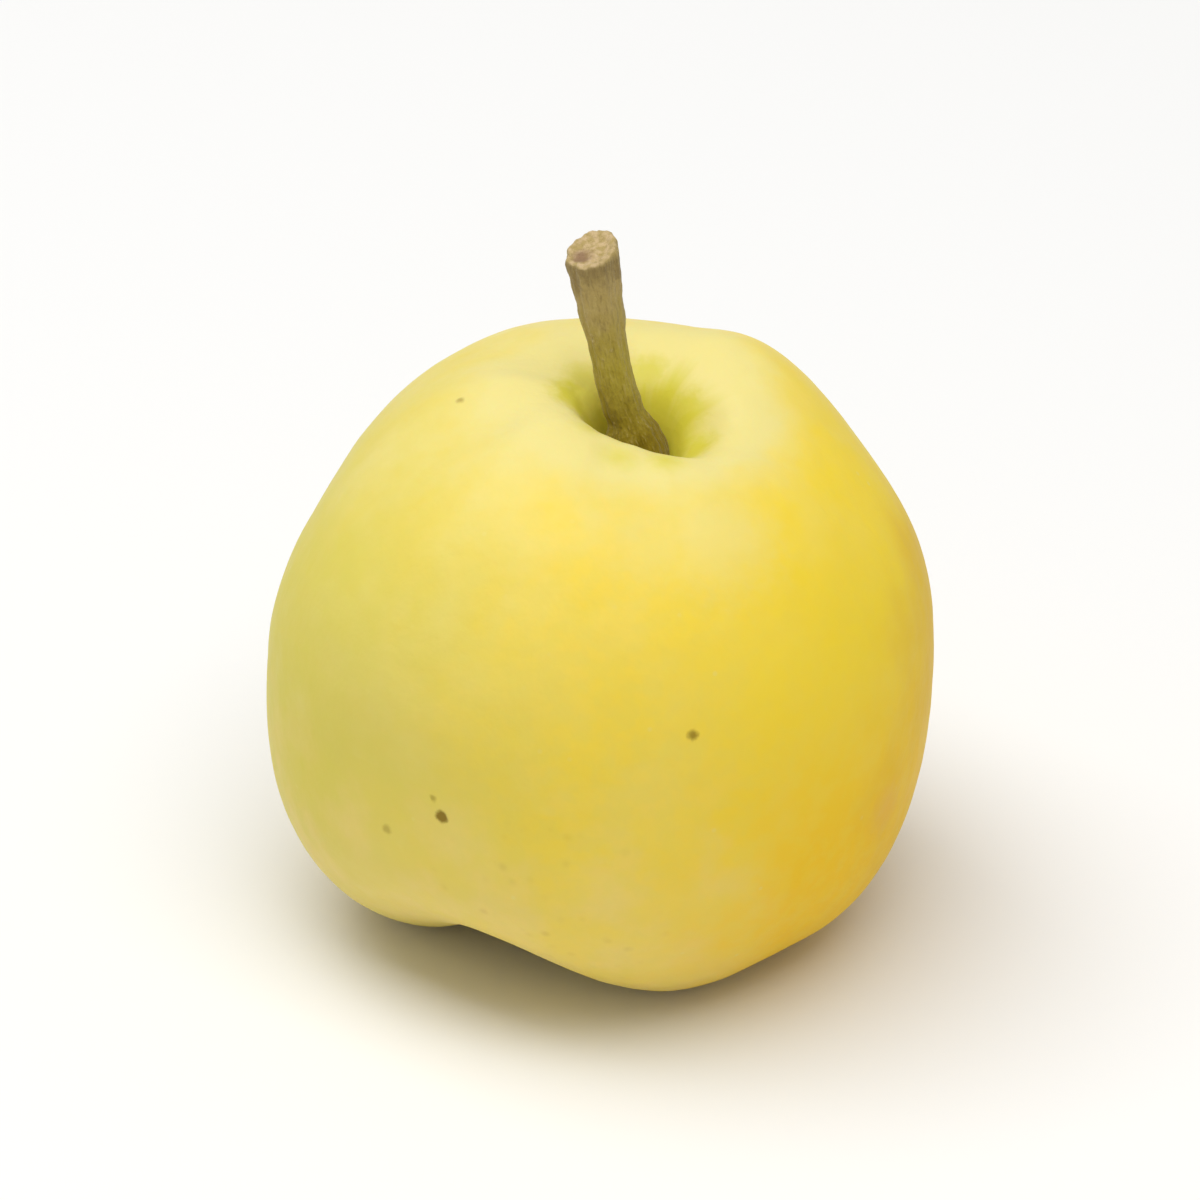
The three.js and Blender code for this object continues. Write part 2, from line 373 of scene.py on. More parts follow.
def mesh_object(
    name: str, points: Array, faces: Iterable[Face], attributes: Mapping[str, Array]
) -> Piece:
    """Makes a smooth object from points in millimetres and faces.

    Args:
        name: The object's name.
        points: The vertices in the frame, in millimetres.
        faces: The vertices of each face, turning left as seen from outside.
        attributes: A number, or a vector of three, for each vertex, by attribute name.

    Returns:
        The object, linked into the scene.
    """
    mesh = bpy.data.meshes.new(name)
    mesh.from_pydata((points * MM).tolist(), [], [list(face) for face in faces])
    mesh.shade_smooth()
    for attribute_name, values in attributes.items():
        add_attribute(mesh, attribute_name, values)
    mesh.update()
    return linked(name, mesh)


def linked(name: str, data: bpy.types.ID) -> Piece:
    """Makes an object of a mesh, lamp or camera and links it into the scene.

    Args:
        name: The object's name.
        data: What it holds.

    Returns:
        The object.
    """
    obj = bpy.data.objects.new(name, data)
    bpy.context.collection.objects.link(obj)
    return obj


def add_attribute(mesh: bpy.types.Mesh, name: str, values: Array) -> None:
    """Stores a number or a vector for each vertex of a mesh."""
    kind, key = ("FLOAT_VECTOR", "vector") if values.ndim == 2 else ("FLOAT", "value")
    mesh.attributes.new(name, kind, "POINT").data.foreach_set(key, values.astype(np.float32).ravel())


def grid_faces(rows: int, columns: int, wraps: bool) -> list[Face]:
    """Lists the faces between the rows of a grid of vertices.

    Args:
        rows: How many rows of vertices there are.
        columns: How many vertices each row has.
        wraps: Whether the last column joins the first.

    Returns:
        Four vertices for each face.
    """
    index = np.arange(rows * columns).reshape(rows, columns)
    index = np.hstack([index, index[:, :1]]) if wraps else index
    corners = stacked(index[:-1, :-1], index[:-1, 1:], index[1:, 1:], index[1:, :-1])
    return corners.reshape(-1, 4).tolist()


def cap_faces(first: int, count: int, centre: int) -> list[Face]:
    """Lists the triangles from a ring of vertices to one in its middle."""
    return [(first + i, first + (i + 1) % count, centre) for i in range(count)]


def turned(faces: Iterable[Face]) -> list[Face]:
    """Turns faces over, so that they are seen from their other side."""
    return [face[::-1] for face in faces]


def with_ends(rings: Array) -> Array:
    """Lists the points of a tube's rings, then the middles of its first ring and its last."""
    return np.vstack([rings.reshape(-1, 3), rings[0].mean(axis=0), rings[-1].mean(axis=0)])


@dataclass
class Route:
    """A smooth curve through a few points, in millimetres."""

    points: Array
    steps: int = 40

    def sample(self, count: int) -> tuple[Array, Array, float]:
        """Walks along the curve in even steps.

        Args:
            count: How many points to give.

        Returns:
            The points, the unit tangents there, and the curve's length.
        """
        held = self.points
        ends = np.vstack([2 * held[0] - held[1], held, 2 * held[-1] - held[-2]])
        pieces = []
        share = np.linspace(0.0, 1.0, self.steps, endpoint=False)[:, None]
        for a, b, c, d in zip(ends, ends[1:], ends[2:], ends[3:]):
            cubic = (3 * b - 3 * c + d - a) * share**3 + (2 * a - 5 * b + 4 * c - d) * share**2
            pieces.append(b + 0.5 * ((c - a) * share + cubic))
        fine = np.vstack([*pieces, held[-1:]])
        walked = np.concatenate([[0.0], np.cumsum(np.linalg.norm(np.diff(fine, axis=0), axis=1))])
        at = np.linspace(0.0, walked[-1], count)
        places = stacked(*(np.interp(at, walked, fine[:, axis]) for axis in range(3)))
        return places, normalised(np.gradient(places, axis=0)), float(walked[-1])


@dataclass
class Rod:
    """A rod along a route, closed at both ends, whose radius may change along and around it."""

    name: str
    places: Array
    tangents: Array
    radii: Array
    offsets: Array

    def build(self, along: Array) -> Piece:
        """Makes the rod.

        Args:
            along: The length walked at each ring, in millimetres.

        Returns:
            The object, with its unbent position in the attribute "straight".
        """
        rings, count = self.radii.shape
        cosine, sine = np.cos(circle(count)), np.sin(circle(count))
        across = normalised(np.cross(np.array([0.0, 1.0, 0.0]), self.tangents))
        third = np.cross(self.tangents, across)
        ring = across[:, None] * cosine[None, :, None] + third[:, None] * sine[None, :, None]
        body = self.places[:, None] + ring * self.radii[..., None]
        body += self.tangents[:, None] * self.offsets[..., None]
        unbent = stacked(self.radii * cosine, self.radii * sine, along[:, None] + self.offsets)
        faces = [
            *grid_faces(rings, count, wraps=True),
            *turned(cap_faces(0, count, rings * count)),
            *cap_faces((rings - 1) * count, count, rings * count + 1),
        ]
        return mesh_object(self.name, with_ends(body), faces, {"straight": with_ends(unbent)})


# ---- Materials ----


class Graph:
    """Adds nodes to a node tree. An input may be a number, a colour, a vector or a socket."""

    def __init__(self, tree: Tree) -> None:
        """Starts on a node tree."""
        self.tree = tree

    def add(
        self, kind: str, inputs: Mapping[str | int, Any] | None = None, **settings: Any
    ) -> bpy.types.Node:
        """Adds one node.

        Args:
            kind: The node's type, such as "ShaderNodeMath".
            inputs: Values or sockets, by the input's name or number.
            settings: The node's own properties.

        Returns:
            The node.
        """
        node = self.tree.nodes.new(kind)
        for name, value in settings.items():
            setattr(node, name, value)
        for key, value in (inputs or {}).items():
            if isinstance(value, Socket):
                self.tree.links.new(value, node.inputs[key])
            else:
                node.inputs[key].default_value = value
        return node

    def group(self, tree: Tree, vector: Any, **numbers: Any) -> Socket:
        """Places a shared effect on a vector, with its own numbers, and gives its mask."""
        inputs = {"Vector": vector, **numbers}
        return self.add("ShaderNodeGroup", inputs, node_tree=tree).outputs[0]

    def maths(self, operation: str, a: Any, b: Any) -> Socket:
        """Gives the result of a Math node."""
        return self.add("ShaderNodeMath", {0: a, 1: b}, operation=operation).outputs[0]

    def plus(self, a: Any, b: Any) -> Socket:
        """Adds two numbers."""
        return self.maths("ADD", a, b)

    def minus(self, a: Any, b: Any) -> Socket:
        """Takes the second number from the first."""
        return self.maths("SUBTRACT", a, b)

    def times(self, a: Any, b: Any) -> Socket:
        """Multiplies two numbers."""
        return self.maths("MULTIPLY", a, b)

    def over(self, a: Any, b: Any) -> Socket:
        """Divides the first number by the second."""
        return self.maths("DIVIDE", a, b)

    def most(self, a: Any, b: Any) -> Socket:
        """Gives the larger of two numbers."""
        return self.maths("MAXIMUM", a, b)

    def swing(self, share: Any, width: Any) -> Socket:
        """Spreads a share of 0 to 1 over a width that has 0 in its middle."""
        return self.times(self.minus(share, 0.5), width)

    def ease(self, value: Any, span: Pair) -> Socket:
        """Eases from 0 at a span's start to 1 at its end, whichever of the two is the higher."""
        inputs = {"Value": value, "From Min": span[0], "From Max": span[1]}
        return self.add("ShaderNodeMapRange", inputs, interpolation_type="SMOOTHSTEP").outputs[0]

    def mix(self, share: Any, a: Any, b: Any) -> Socket:
        """Mixes two colours."""
        a, b = ((*one, 1.0) if isinstance(one, tuple) else one for one in (a, b))
        return self.add("ShaderNodeMix", {0: share, 6: a, 7: b}, data_type="RGBA").outputs[2]

    def paint(self, under: Any, over: Any, mask: Any, strength: float) -> Socket:
        """Paints one colour over another where a mask is, at a strength of up to 1."""
        return self.mix(self.times(mask, strength), under, over)

    def noise(self, vector: Any, scale: float, detail: float = 3.0) -> Socket:
        """Gives solid noise from 0 to 1 with that many swells to a unit of the vector."""
        inputs = {"Vector": vector, "Scale": scale, "Detail": detail, "Roughness": 0.55}
        return self.add("ShaderNodeTexNoise", inputs).outputs[0]

    def axis(self, vector: Any, name: str) -> Socket:
        """Gives the X, Y or Z of a vector."""
        return self.add("ShaderNodeSeparateXYZ", {0: vector}).outputs[name]

    def attribute(self, name: str, output: str = "Fac") -> Socket:
        """Reads what the mesh stores for each vertex."""
        return self.add("ShaderNodeAttribute", attribute_name=name).outputs[output]


class Effect(Graph):
    """A shared effect: a node group that takes a vector and some numbers, and gives a mask."""

    def __init__(self, name: str, **numbers: float) -> None:
        """Starts the group.

        Args:
            name: The group's name.
            numbers: Its number inputs, and what they are if nothing is set.
        """
        super().__init__(bpy.data.node_groups.new(name, "ShaderNodeTree"))
        new_socket = self.tree.interface.new_socket
        new_socket("Vector", in_out="INPUT", socket_type="NodeSocketVector")
        for label, value in numbers.items():
            new_socket(label, in_out="INPUT", socket_type="NodeSocketFloat").default_value = value
        new_socket("Mask", in_out="OUTPUT", socket_type="NodeSocketFloat")
        self.given = self.tree.nodes.new("NodeGroupInput").outputs

    def within(self, beyond: Any) -> Socket:
        """Gives 1 inside an edge and 0 beyond it, with a Softness between."""
        return self.ease(self.over(beyond, self.given["Softness"]), (0.5, -0.5))

    def giving(self, mask: Socket) -> Tree:
        """Leads the mask out, and gives the group."""
        self.add("NodeGroupOutput", {"Mask": mask})
        return self.tree


@dataclass
class Effects:
    """The effects that several finishes share."""

    patches: Tree = field(init=False)
    dots: Tree = field(init=False)
    mark: Tree = field(init=False)
    fibres: Tree = field(init=False)

    def __post_init__(self) -> None:
        """Builds the groups."""
        self.patches, self.dots = self._patches(), self._dots()
        self.mark, self.fibres = self._mark(), self._fibres()

    @staticmethod
    def _patches() -> Tree:
        """Makes broad soft-edged patches: Width is their size, and Share how much they cover.

        Returns:
            The group.
        """
        effect = Effect("Patches", Width=5.0, Share=0.5, Softness=0.2)
        given = effect.given
        inputs = {"Vector": given["Vector"], "Scale": effect.over(1.0, given["Width"]), "Detail": 4.0}
        cloud = effect.add("ShaderNodeTexNoise", inputs).outputs[0]
        beyond = effect.minus(effect.minus(1.0, given["Share"]), cloud)
        return effect.giving(effect.within(beyond))

    @staticmethod
    def _dots() -> Tree:
        """Makes small round dots, one at most in each cell of a Pitch, of which a Share shows.

        Returns:
            The group.
        """
        effect = Effect("Dots", Pitch=1.5, Radius=0.15, Softness=0.08, Share=0.5)
        given = effect.given
        inputs = {"Vector": given["Vector"], "Scale": effect.over(1.0, given["Pitch"])}
        cells = effect.add("ShaderNodeTexVoronoi", inputs).outputs
        away = effect.times(cells["Distance"], given["Pitch"])
        chance = effect.add("ShaderNodeSeparateColor", {"Color": cells["Color"]}).outputs
        shows = effect.maths("LESS_THAN", chance["Red"], given["Share"])
        dot = effect.within(effect.minus(away, given["Radius"]))
        return effect.giving(effect.times(dot, effect.times(shows, chance["Green"])))

    @staticmethod
    def _mark() -> Tree:
        """Makes one mark around the place X, Y, Z: Ragged is how uneven its edge is.

        Returns:
            The group.
        """
        effect = Effect("Mark", X=0.0, Y=0.0, Z=0.0, Radius=0.5, Softness=0.3, Ragged=0.2)
        given = effect.given
        centre = effect.add("ShaderNodeCombineXYZ", {axis: given[axis] for axis in "XYZ"}).outputs[0]
        ends = {0: given["Vector"], 1: centre}
        away = effect.add("ShaderNodeVectorMath", ends, operation="DISTANCE").outputs["Value"]
        ragged = effect.swing(effect.noise(given["Vector"], scale=2.2), given["Ragged"])
        return effect.giving(effect.within(effect.minus(effect.plus(away, ragged), given["Radius"])))

    @staticmethod
    def _fibres() -> Tree:
        """Makes streaks along the vector's z: Stretch is how much longer than their Pitch they are.

        Returns:
            The group.
        """
        effect = Effect("Fibres", Pitch=0.2, Stretch=8.0, Contrast=1.0)
        given = effect.given
        across = effect.over(1.0, given["Pitch"])
        scales = {"X": across, "Y": across, "Z": effect.over(across, given["Stretch"])}
        scale = effect.add("ShaderNodeCombineXYZ", scales).outputs[0]
        sides = {0: given["Vector"], 1: scale}
        stretched = effect.add("ShaderNodeVectorMath", sides, operation="MULTIPLY").outputs["Vector"]
        streak = effect.noise(stretched, scale=1.0, detail=4.0)
        return effect.giving(effect.plus(effect.swing(streak, given["Contrast"]), 0.5))


class Surface(Graph):
    """A material's nodes around its Principled shader."""

    def __init__(self, name: str, shader: Mapping[str, Any]) -> None:
        """Starts the material.

        Args:
            name: The material's name.
            shader: What the shader's own sockets hold all over the surface.
        """
        self.material = bpy.data.materials.new(name)
        self.material.use_nodes = True
        super().__init__(self.material.node_tree)
        self.principled = next(n for n in self.tree.nodes if n.type == "BSDF_PRINCIPLED")
        for key, value in shader.items():
            self.principled.inputs[key].default_value = value

    def finished(self, sockets: Mapping[str, Socket]) -> Material:
        """Leads what changes over the surface into the shader.

        Args:
            sockets: Where each comes from, by the name of the shader's input.

        Returns:
            The material.
        """
        for key, socket in sockets.items():
            self.tree.links.new(socket, self.principled.inputs[key])
        return self.material

    def bump(self, height: Socket, depth: float) -> Socket:
        """Gives the normal of a relief that is so many millimetres deep."""
        inputs = {"Height": height, "Distance": depth * MM, "Strength": 1.0}
        return self.add("ShaderNodeBump", inputs).outputs["Normal"]

    def millimetres(self) -> Socket:
        """Gives the position on the piece, in millimetres."""
        inputs = {0: self.add("ShaderNodeTexCoord").outputs["Object"], "Scale": 1.0 / MM}
        return self.add("ShaderNodeVectorMath", inputs, operation="SCALE").outputs["Vector"]


@dataclass(frozen=True)
class Blemish:
    """A mark on the skin: the direction it is in, its radius in millimetres, and its strength."""

    azimuth_deg: float
    latitude_deg: float
    radius: float
    strength: float
    softness: float = 0.22


@dataclass
class SkinFinish:
    """Waxy skin: golden on one side and greener on the other, cream round the stem, with specks.

    A span that ends in _side runs to the berry's right, and one that ends in _height runs up, both in
    millimetres. Those for the wall, the pit and the basin are shares of how far in a hollow it is.
    """

    effects: Effects
    form: FruitForm
    amber: Colour = (0.89, 0.555, 0.02)
    gold: Colour = (0.90, 0.67, 0.045)
    yellow: Colour = (0.87, 0.655, 0.07)
    lime: Colour = (0.73, 0.625, 0.13)
    cream: Colour = (0.81, 0.715, 0.275)
    chartreuse: Colour = (0.66, 0.59, 0.036)
    # painted light: lemon that lightens a shaded wall of the stem's pit
    painted_light_lemon: Colour = (0.88, 0.80, 0.13)
    # painted shade: the honey that darkens the right limb
    shade_honey: Colour = (0.76, 0.45, 0.012)
    olive: Colour = (0.36, 0.28, 0.012)
    tan: Colour = (0.84, 0.65, 0.22)
    blush: Colour = (0.78, 0.43, 0.09)
    brown: Colour = (0.20, 0.11, 0.008)
    russet: Colour = (0.42, 0.23, 0.05)
    shaded_side: Pair = (-8.0, -15.0)
    yellow_side: Pair = (-12.0, 0.0)
    golden_side: Pair = (1.0, 10.0)
    shaded_right_side: Pair = (10.5, 14.5)
    amber_height: Pair = (18.0, 7.0)
    dull_height: Pair = (18.0, 6.0)
    tan_low_height: Pair = (13.0, 3.0)
    pale_highlight_height: Pair = (19.0, 23.0)
    waxed_height: Pair = (17.5, 24.5)
    pale_highlight_wall: Pair = (0.04, 0.22)
    green_wall: Pair = (0.5, 0.9)
    dark_pit: Pair = (0.9, 0.99)
    flecked_basin: Pair = (0.04, 0.35)
    basin_edge: Pair = (0.0, 0.12)
    green_basin: Pair = (0.12, 0.6)
    dark_basin: Pair = (0.6, 1.0)
    tints: tuple[Blemish, ...] = (
        Blemish(117, 86, 1.1, 1.0, 1.3),
        Blemish(90, 81.5, 0.9, 0.7, 1.2),
        Blemish(270, 80, 0.4, 0.55, 1.3),
        Blemish(50, 74, 0.9, 0.8, 1.2),
        Blemish(16, 72.5, 0.9, 0.9, 1.2),
        Blemish(351, 70.5, 0.9, 0.95, 1.3),
        Blemish(308, 67.5, 0.5, 0.9, 1.8),
        Blemish(287, 71, 0.5, 0.7, 2.0),
    )
    specks: tuple[Blemish, ...] = (
        Blemish(286.5, 14.5, 0.2, 0.85),
        Blemish(241, -5, 0.27, 1.0),
        Blemish(239.2, -1.7, 0.13, 0.5),
        Blemish(228.2, -12.5, 0.2, 0.4),
        Blemish(179, 66.8, 0.16, 0.55),
        Blemish(20, 31, 0.15, 0.6),
        Blemish(47, -14, 0.22, 0.8),
        Blemish(76, 19, 0.18, 0.7),
        Blemish(112, -24, 0.26, 0.85),
        Blemish(118, -20, 0.14, 0.6),
        Blemish(149, 8, 0.2, 0.75),
    )
    freckled: tuple[Blemish, ...] = (
        Blemish(262, -20, 4.5, 1.0, 4.0),
        Blemish(95, -28, 5.0, 1.0, 4.0),
        Blemish(160, 30, 3.5, 0.8, 3.5),
    )
    pale_highlight_marks: tuple[Blemish, ...] = (
        Blemish(303, 47, 2.2, 0.42, 3.4),
        Blemish(286, 50, 1.6, 0.4, 3.0),
    )
    smudge: Blemish = Blemish(330.8, -15.2, 0.9, 0.5, 1.8)
    painted_light_wall: Blemish = Blemish(88, 84.8, 0.6, 0.85, 0.7)
    surface: Surface = field(init=False)
    place: Socket = field(init=False)
    streak: Socket = field(init=False)

    def build(self) -> Material:
        """Makes the material.

        Returns:
            The material.
        """
        shader = {
            "Specular IOR Level": 0.05,
            "Subsurface Weight": 0.2,
            "Subsurface Radius": (1.0, 0.55, 0.15),
            "Subsurface Scale": 1.5 * MM,
            "Coat Roughness": 0.3,
        }
        self.surface = Surface("Haw skin", shader)
        self.place = self.surface.millimetres()
        meridian = self.surface.attribute("meridian", "Vector")
        self.streak = self.surface.noise(meridian, scale=3.4, detail=2.0)
        colour, specks = self._marked(self._calyx_end(self._stem_end(self._ground())))
        sockets = {
            "Base Color": colour,
            "Coat Weight": self._wax(),
            "Roughness": self._roughness(specks),
            "Normal": self._relief(specks),
        }
        return self.surface.finished(sockets)

    def _patches(self, width: float, share: float, softness: float) -> Socket:
        """Gives the mask of some patches."""
        sizes = {"Width": width, "Share": share, "Softness": softness}
        return self.surface.group(self.effects.patches, self.place, **sizes)

    def _dots(self, pitch: float, radius: float, softness: float, share: float) -> Socket:
        """Gives the mask of some dots."""
        sizes = {"Pitch": pitch, "Radius": radius, "Softness": softness, "Share": share}
        return self.surface.group(self.effects.dots, self.place, **sizes)

    def _marks(self, *marks: Blemish) -> Socket:
        """Gives the mask of marks.

        Args:
            marks: One mark or more.

        Returns:
            The strongest of them everywhere.
        """
        masks = []
        for mark in marks:
            centre = dict(zip("XYZ", self.form.spot(mark.azimuth_deg, mark.latitude_deg)))
            ragged = 0.2 + 0.8 * mark.radius
            sizes = {"Radius": mark.radius, "Softness": mark.softness, "Ragged": ragged}
            mask = self.surface.group(self.effects.mark, self.place, **centre, **sizes)
            masks.append(self.surface.times(mask, mark.strength))
        together = masks[0]
        for mask in masks[1:]:
            together = self.surface.most(together, mask)
        return together

    def _ground(self) -> Socket:
        """Blends lime, yellow and gold from one side to the other, in faint streaks and clouds, with
        painted shade on the limbs.

        Returns:
            The colour all over the skin.
        """
        graph = self.surface
        height = graph.axis(self.place, "Z")
        drift = graph.swing(graph.noise(self.place, scale=0.16), width=6.0)
        side = graph.plus(graph.axis(self.place, "X"), drift)
        side = graph.plus(side, graph.swing(self.streak, width=5.0))
        # Cream clouds, here and on the golden side, thicken towards the top: partly paler skin, partly
        # painted highlight.
        pale_highlight_share = graph.plus(graph.times(graph.ease(height, self.pale_highlight_height), 0.4), 0.15)
        clouded = graph.times(self._patches(width=4.5, share=0.45, softness=0.35), pale_highlight_share)
        dull = self._patches(width=2.6, share=0.45, softness=0.3)
        dull = graph.times(dull, graph.ease(height, self.dull_height))
        mottled = self._patches(width=0.8, share=0.5, softness=0.25)
        colour = graph.mix(graph.ease(side, self.yellow_side), self.lime, self.yellow)
        # Painted shade: chartreuse darkens the left limb, which also reads as a greener cheek.
        colour = graph.paint(colour, self.chartreuse, graph.ease(side, self.shaded_side), strength=0.35)
        colour = graph.mix(clouded, colour, self.cream)
        colour = graph.paint(colour, self.tan, dull, strength=0.6)
        colour = graph.paint(colour, self.lime, mottled, strength=0.2)
        # Paler tan towards the bottom.
        colour = graph.paint(colour, self.tan, graph.ease(height, self.tan_low_height), strength=0.42)
        ripe = graph.mix(graph.ease(height, self.amber_height), self.gold, self.amber)
        ripe = graph.paint(ripe, self.yellow, mottled, strength=0.25)
        ripe = graph.paint(ripe, self.cream, clouded, strength=0.5)
        # Painted shade: honey darkens the right limb.
        ripe = graph.paint(ripe, self.shade_honey, graph.ease(side, self.shaded_right_side), strength=0.6)
        return graph.mix(graph.ease(side, self.golden_side), colour, ripe)

    def _stem_end(self, colour: Socket) -> Socket:
        """Pales the skin round the stem's hollow, partly a painted highlight, greens it inside, and
        paints light and shade in its pit.

        Args:
            colour: The skin's colour so far.

        Returns:
            The colour with them.
        """
        graph = self.surface
        depth = graph.attribute("stem_hollow")
        cloud = graph.swing(graph.noise(self.place, scale=0.3), width=0.12)
        cloud = graph.plus(cloud, graph.swing(graph.noise(self.place, scale=0.75), width=0.07))
        leaning = graph.times(graph.most(graph.axis(self.place, "X"), -6.0), 0.006)
        near = graph.plus(depth, graph.minus(cloud, leaning))
        # Cream round the stem and in two marks: partly paler skin, partly painted highlight.
        pale = graph.most(graph.ease(near, self.pale_highlight_wall), self._marks(*self.pale_highlight_marks))
        colour = graph.paint(colour, self.cream, pale, strength=0.9)
        streaked = graph.plus(depth, graph.swing(self.streak, width=0.6))
        tint = graph.most(graph.ease(streaked, self.green_wall), self._marks(*self.tints))
        colour = graph.paint(colour, self.chartreuse, tint, strength=0.9)
        # Painted light: lemon lightens a shaded wall of the pit by the stem.
        colour = graph.mix(self._marks(self.painted_light_wall), colour, self.painted_light_lemon)
        # Deep in the pit the skin turns olive: partly its own colour, partly painted shade.
        return graph.mix(graph.ease(depth, self.dark_pit), colour, self.olive)

    def _calyx_end(self, colour: Socket) -> Socket:
        """Greens the basin round the flower, with russet specks in it.

        Args:
            colour: The skin's colour so far.

        Returns:
            The colour with them.
        """
        graph = self.surface
        depth = graph.attribute("calyx_hollow")
        inside = graph.plus(depth, graph.swing(self.streak, width=0.8))
        colour = graph.mix(graph.ease(inside, self.green_basin), colour, self.chartreuse)
        colour = graph.mix(graph.ease(inside, self.dark_basin), colour, self.olive)
        flecks = self._dots(pitch=0.5, radius=0.14, softness=0.14, share=0.9)
        flecks = graph.times(flecks, graph.ease(depth, self.basin_edge))
        flecks = graph.times(flecks, graph.ease(inside, self.flecked_basin))
        return graph.paint(colour, self.russet, flecks, strength=0.9)

    def _marked(self, colour: Socket) -> tuple[Socket, Socket]:
        """Adds pale pores all over, a smudge, freckled patches, and brown specks.

        Args:
            colour: The skin's colour so far.

        Returns:
            The colour with them, and a mask of the brown ones.
        """
        graph = self.surface
        pores = self._dots(pitch=1.3, radius=0.1, softness=0.1, share=0.7)
        colour = graph.paint(colour, self.cream, pores, strength=0.3)
        colour = graph.mix(self._marks(self.smudge), colour, self.blush)
        freckles = self._dots(pitch=0.8, radius=0.17, softness=0.3, share=0.5)
        freckles = graph.times(freckles, self._marks(*self.freckled))
        colour = graph.paint(colour, self.russet, freckles, strength=0.22)
        strays = self._dots(pitch=2.6, radius=0.16, softness=0.12, share=0.05)
        brown = graph.most(strays, self._marks(*self.specks))
        return graph.paint(colour, self.brown, brown, strength=0.85), brown

    def _wax(self) -> Socket:
        """Gives how much wax is left: most on the shoulders, in clouds, and little lower down.

        Returns:
            The weight of the coat.
        """
        graph = self.surface
        worn = graph.swing(graph.noise(self.place, scale=0.35), width=6.0)
        height = graph.plus(graph.axis(self.place, "Z"), worn)
        return graph.times(graph.ease(height, self.waxed_height), 0.22)

    def _roughness(self, specks: Socket) -> Socket:
        """Makes the surface a little uneven, and the specks dull.

        Args:
            specks: The mask of the brown specks.

        Returns:
            The roughness.
        """
        graph = self.surface
        uneven = graph.times(graph.noise(self.place, scale=0.7), 0.16)
        return graph.plus(graph.plus(uneven, 0.36), graph.times(specks, 0.3))

    def _relief(self, specks: Socket) -> Socket:
        """Gives the skin its fine orange-peel relief, with the specks sunk in it.

        Args:
            specks: The mask of the brown specks.

        Returns:
            The normal.
        """
        graph = self.surface
        fine = graph.times(graph.noise(self.place, scale=5.0, detail=2.0), 0.16)
        height = graph.plus(graph.noise(self.place, scale=0.9, detail=2.0), fine)
        return graph.bump(graph.minus(height, specks), depth=0.05)


@dataclass(frozen=True)
class BarkFinish:
    """Dry bark with fine fibres along it: olive at the foot, tan higher up, and a pale scar."""

    effects: Effects
    foot: Colour = (0.25, 0.18, 0.004)
    middle: Colour = (0.42, 0.335, 0.04)
    top: Colour = (0.45, 0.335, 0.12)
    pale: Colour = (0.58, 0.46, 0.18)
    dark: Colour = (0.13, 0.08, 0.03)
    scar: Colour = (0.66, 0.49, 0.27)
    wound: Colour = (0.24, 0.13, 0.07)
    wound_place: Pair = (-0.42, -0.15)

    def build(self, length: float) -> Material:
        """Makes the material.

        Args:
            length: The stem's length in millimetres.

        Returns:
            The material.
        """
        shader = {"Specular IOR Level": 0.25, "Sheen Weight": 0.15, "Sheen Roughness": 0.4}
        graph = Surface("Stem bark", shader)
        straight = graph.attribute("straight", "Vector")
        streaks = {"Pitch": 0.11, "Stretch": 5.0, "Contrast": 1.6}
        fibres = graph.group(self.effects.fibres, straight, **streaks)
        sizes = {"Pitch": 0.55, "Radius": 0.09, "Softness": 0.09, "Share": 0.6}
        warts = graph.group(self.effects.dots, straight, **sizes)
        colour = self._along(graph, straight, length)
        colour = graph.paint(colour, self.dark, graph.ease(fibres, (0.5, 0.0)), strength=0.5)
        colour = graph.paint(colour, self.pale, graph.ease(fibres, (0.5, 1.0)), strength=0.45)
        colour = graph.paint(colour, self.pale, warts, strength=0.6)
        colour = graph.mix(graph.attribute("scar"), colour, self._scar(graph, straight, length))
        grit = graph.times(graph.noise(straight, scale=6.0), 0.7)
        relief = graph.plus(graph.plus(fibres, grit), warts)
        sockets = {
            "Base Color": colour,
            "Roughness": graph.plus(graph.times(fibres, -0.2), 0.9),
            "Normal": graph.bump(relief, depth=0.06),
        }
        return graph.finished(sockets)

    def _along(self, graph: Graph, straight: Socket, length: float) -> Socket:
        """Blends the bark's colours from the foot up, with a dark band of painted shade under the
        scar's rim.

        Args:
            graph: The material's nodes.
            straight: The place on the unbent stem.
            length: The stem's length in millimetres.

        Returns:
            The colour.
        """
        along = graph.axis(straight, "Z")
        raised = graph.plus(along, graph.swing(graph.noise(straight, scale=0.9), width=3.0))
        colour = graph.mix(graph.ease(raised, (1.2, 0.45 * length)), self.foot, self.middle)
        colour = graph.mix(graph.ease(raised, (0.5 * length, 0.85 * length)), colour, self.top)
        above, below = (length - 1.7, length - 0.8), (length - 0.05, length - 0.4)
        # Painted shade: a dark band under the scar's rim.
        band = graph.times(graph.ease(raised, above), graph.ease(along, below))
        return graph.paint(colour, self.dark, band, strength=0.5)

    def _scar(self, graph: Graph, straight: Socket, length: float) -> Socket:
        """Colours the scar: torn wood, with a brown wound on its left.

        Args:
            graph: The material's nodes.
            straight: The place on the unbent stem.
            length: The stem's length in millimetres.

        Returns:
            The colour.
        """
        torn = graph.ease(graph.noise(straight, scale=3.5, detail=4.0), (0.3, 0.7))
        centre = dict(zip("XYZ", (*self.wound_place, length)))
        sizes = {"Radius": 0.42, "Softness": 0.35, "Ragged": 0.6}
        wound = graph.group(self.effects.mark, straight, **centre, **sizes)
        return graph.paint(graph.mix(torn, self.top, self.scar), self.wound, wound, strength=0.8)


